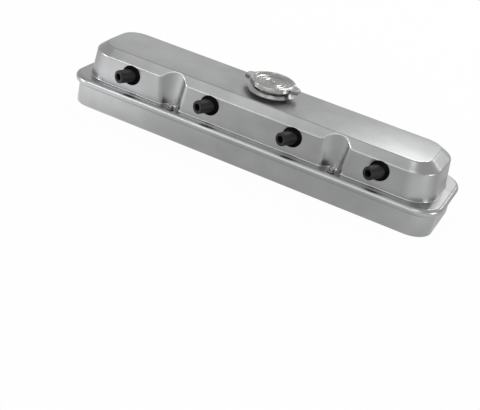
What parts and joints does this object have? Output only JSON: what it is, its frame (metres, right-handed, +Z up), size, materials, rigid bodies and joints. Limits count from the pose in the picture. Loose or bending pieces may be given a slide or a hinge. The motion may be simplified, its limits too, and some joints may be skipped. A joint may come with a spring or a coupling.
{
  "type": "engine valve cover",
  "caption": "Long two-piece cast aluminium engine valve cover with a bevelled crown, angled rubber wire boots in its front wall, a twist-off filler cap and a baffle inside.",
  "frame": {"origin": "middle of the flat gasket rail, on its plane", "axes": "+X along the cover, -Y towards the wire boots, +Z up away from the rail"},
  "size_m": [0.498, 0.1384, 0.0985],
  "materials": {
    "cast_aluminium": "satin polished casting with cloudy marks",
    "baffle_metal": "dull sheet",
    "turned_steel": "turned",
    "screw_steel": "bright plated",
    "black_rubber": "matt black",
    "cap_chrome": "polished plating"
  },
  "bodies": {
    "cover": {"base_casting": "cast_aluminium", "bolt_sleeve_1": "turned_steel", "bolt_sleeve_2": "turned_steel", "baffle_plate": "baffle_metal", "baffle_screw_01": "screw_steel", "baffle_screw_02": "screw_steel", "baffle_screw_03": "screw_steel", "baffle_screw_04": "screw_steel", "baffle_screw_05": "screw_steel", "baffle_screw_06": "screw_steel", "baffle_screw_07": "screw_steel", "baffle_screw_08": "screw_steel", "baffle_screw_09": "screw_steel", "baffle_screw_10": "screw_steel", "baffle_screw_11": "screw_steel", "baffle_screw_12": "screw_steel", "top_cover": "cast_aluminium", "cover_screw_1": "screw_steel", "cover_screw_2": "screw_steel", "cover_washer_1": "screw_steel", "cover_washer_2": "screw_steel", "wire_boot_1": "black_rubber", "wire_boot_2": "black_rubber", "wire_boot_3": "black_rubber", "wire_boot_4": "black_rubber", "filler_neck": "turned_steel"},
    "filler_cap": {"cap_shell": "cap_chrome", "cap_rivet": "screw_steel", "cap_gasket": "black_rubber", "cap_keeper": "turned_steel"}
  },
  "joints": [
    {"name": "cap_turn", "type": "hinge", "parent": "cover", "child": "filler_cap", "pos_m": [0, 0, 0.0935], "axis": [0, 0, 1], "range_deg": [0, 90]}
  ]
}
